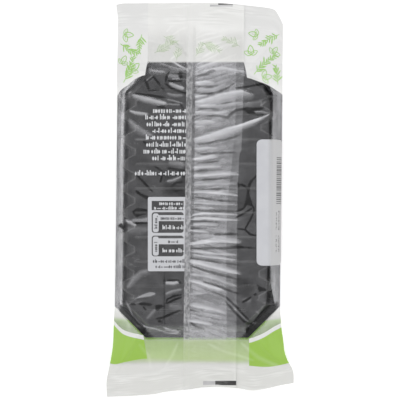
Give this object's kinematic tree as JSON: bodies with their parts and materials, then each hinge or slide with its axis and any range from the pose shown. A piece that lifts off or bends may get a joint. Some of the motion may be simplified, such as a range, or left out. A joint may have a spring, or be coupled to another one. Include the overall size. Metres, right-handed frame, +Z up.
{
  "type": "bag of fresh chives",
  "caption": "Flow-wrapped tray of fresh chives lying on its front: clear printed film with crimped ends, a pleated back seam, a black tray inside and a white sticker round one side.",
  "frame": {"origin": "under the middle of the pack, on the surface that it lies on", "axes": "+Y towards the pack's top end, +Z up, away from the surface and out of the pack's back"},
  "size_m": [0.1031, 0.2167, 0.02],
  "materials": {
    "film": "clear glossy film, wrinkled",
    "sticker_paper": "smooth white paper sticker",
    "tray_plastic": "black thermoformed tray",
    "ink": "green and white inks on film",
    "stalks": "fresh green stalks"
  },
  "bodies": {
    "root": {"film_wrap": "film", "side_sticker": "sticker_paper"}
  },
  "joints": []
}
